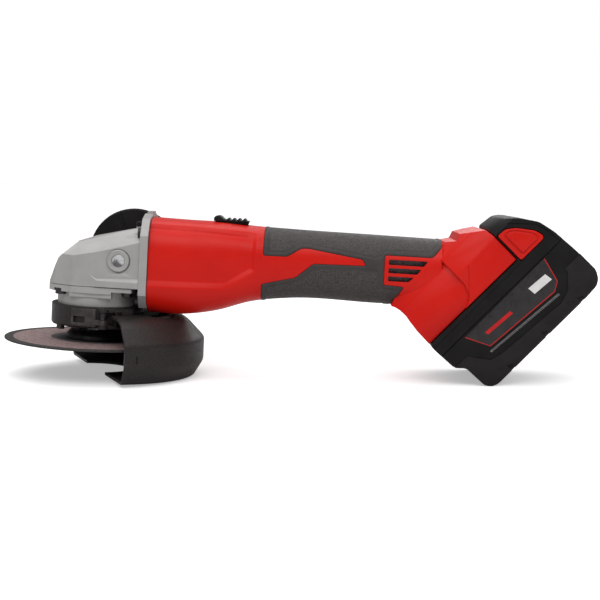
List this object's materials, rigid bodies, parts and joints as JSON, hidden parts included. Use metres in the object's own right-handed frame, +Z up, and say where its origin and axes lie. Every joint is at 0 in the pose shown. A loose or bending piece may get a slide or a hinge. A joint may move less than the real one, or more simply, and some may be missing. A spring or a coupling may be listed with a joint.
{
  "type": "cordless angle grinder",
  "caption": "Cordless angle grinder with a cast gear case, cutting disc, turning guard, side handle, slide switch, slim rubber grip and a slide-on battery pack on a slanted foot.",
  "frame": {"origin": "centre of the part's box on the surface that it rests on", "axes": "+X from the gear case back to the battery, +Y towards the side handle, +Z up; the tool rests on its guard's lip and the battery's low edge, so its own axis is tipped nose up by about 2.5 degrees"},
  "size_m": [0.399, 0.228, 0.1127],
  "materials": {
    "red_shell": "moulded red nylon, fine satin texture",
    "grip_rubber": "dark grey overmoulded rubber, leather-like grain",
    "cast_case": "fine blasted die casting",
    "bright_steel": "ground",
    "gear_steel": "oiled",
    "guard_steel": "black satin powder coat",
    "black_nut": "black oxide",
    "black_plastic": "moulded, fine satin texture",
    "dark_screw": "black oxide, Torx drive",
    "abrasive_disc": "resin-bonded abrasive with a woven mesh",
    "lamination": "stacked sheet, varnished",
    "winding_copper": "enamelled copper wire",
    "circuit_board": "solder mask",
    "control_block": "potted module with a finned heat sink",
    "cell_sleeve": "shrink sleeve over steel cans",
    "vent_mesh": "fine woven mesh"
  },
  "bodies": {
    "body": {"housing_left": "red_shell", "housing_right": "red_shell", "grip_left": "grip_rubber", "grip_right": "grip_rubber", "gear_case": "cast_case", "bearing_plate": "cast_case", "housing_screw_1": "dark_screw", "housing_screw_2": "dark_screw", "housing_screw_3": "dark_screw", "housing_screw_4": "dark_screw", "bearing_plate_screw_1": "dark_screw", "bearing_plate_screw_2": "dark_screw", "bearing_plate_screw_3": "dark_screw", "bearing_plate_screw_4": "dark_screw", "gear_case_screw_1": "dark_screw", "gear_case_screw_2": "dark_screw", "gear_case_screw_3": "dark_screw", "gear_case_screw_4": "dark_screw", "spindle_bearing": "bright_steel", "needle_bearing": "bright_steel", "spindle_lock_spring": "bright_steel", "side_handle_stud": "bright_steel", "front_motor_bearing": "bright_steel", "rear_motor_bearing": "bright_steel", "side_handle_grip": "black_plastic", "fan_baffle": "black_plastic", "power_switch": "black_plastic", "terminal_block": "black_plastic", "stator_core": "lamination", "stator_windings": "winding_copper", "sensor_board": "circuit_board", "control_board": "control_block", "vent_screen_left": "vent_mesh", "vent_screen_right": "vent_mesh"},
    "spindle_group": {"spindle": "bright_steel", "crown_gear": "gear_steel", "inner_flange": "black_nut", "cutting_disc": "abrasive_disc", "lock_nut": "black_nut"},
    "motor_group": {"motor_shaft": "bright_steel", "rotor": "lamination", "cooling_fan": "black_plastic", "pinion_gear": "gear_steel"},
    "lock_button": {"spindle_lock_button": "black_plastic"},
    "slide_switch": {"switch_slider": "black_plastic", "switch_rod": "black_plastic"},
    "guard": {"guard_shell": "guard_steel", "guard_collar": "guard_steel", "guard_lever_pin": "dark_screw", "guard_lever_spring": "dark_screw"},
    "guard_clamp_lever": {"guard_lever": "guard_steel"},
    "battery": {"battery_top_case": "black_plastic", "battery_bottom_case": "black_plastic", "battery_cells": "cell_sleeve", "cell_holder": "black_plastic", "battery_board": "circuit_board"},
    "latch_left": {"latch_button_left": "red_shell"},
    "latch_right": {"latch_button_right": "red_shell"},
    "gauge": {"gauge_button": "black_plastic"}
  },
  "joints": [
    {"name": "spindle_spin", "type": "hinge", "parent": "body", "child": "spindle_group", "pos_m": [-0.13701, -0.04599, 0.02398], "axis": [0.0441, 0, 0.999], "continuous": true},
    {"name": "motor_spin", "type": "hinge", "parent": "body", "child": "motor_group", "pos_m": [-0.07455, -0.04599, 0.07828], "axis": [0.999, 0, -0.0441], "continuous": true},
    {"name": "spindle_lock_press", "type": "slide", "parent": "body", "child": "lock_button", "axis": [-0.0441, 0, -0.999], "range_m": [0, 0.0025], "stiffness_N_per_m": 500, "springref_m": -0.001, "deforming": ["spindle_lock_spring"]},
    {"name": "switch_slide", "type": "slide", "parent": "body", "child": "slide_switch", "axis": [-0.999, 0, 0.0441], "range_m": [0, 0.007], "stiffness_N_per_m": 250, "springref_m": -0.002},
    {"name": "guard_turn", "type": "hinge", "parent": "body", "child": "guard", "pos_m": [-0.13701, -0.04599, 0.02398], "axis": [0.0441, 0, 0.999], "range_deg": [-100, 60]},
    {"name": "guard_lever_swing", "type": "hinge", "parent": "guard", "child": "guard_clamp_lever", "pos_m": [-0.1273, -0.07961, 0.03956], "axis": [0.0441, 0, 0.999], "range_deg": [0, 35], "stiffness_Nm_per_rad": 0.05, "springref_deg": -17.19},
    {"name": "battery_slide", "type": "slide", "parent": "body", "child": "battery", "axis": [0.7012, 0, 0.7129], "range_m": [0, 0.085]},
    {"name": "latch_left_press", "type": "slide", "parent": "battery", "child": "latch_left", "axis": [0, 1, 0], "range_m": [0, 0.0025], "stiffness_N_per_m": 600, "springref_m": -0.001},
    {"name": "latch_right_press", "type": "slide", "parent": "battery", "child": "latch_right", "axis": [0, -1, 0], "range_m": [0, 0.0025], "stiffness_N_per_m": 600, "springref_m": -0.001},
    {"name": "gauge_press", "type": "slide", "parent": "battery", "child": "gauge", "axis": [-0.7012, 0, -0.7129], "range_m": [0, 0.0008], "stiffness_N_per_m": 600, "springref_m": -0.001}
  ],
  "couplings": [
    {"joint": "motor_spin", "follows": "spindle_spin", "ratio": 3.3636}
  ]
}
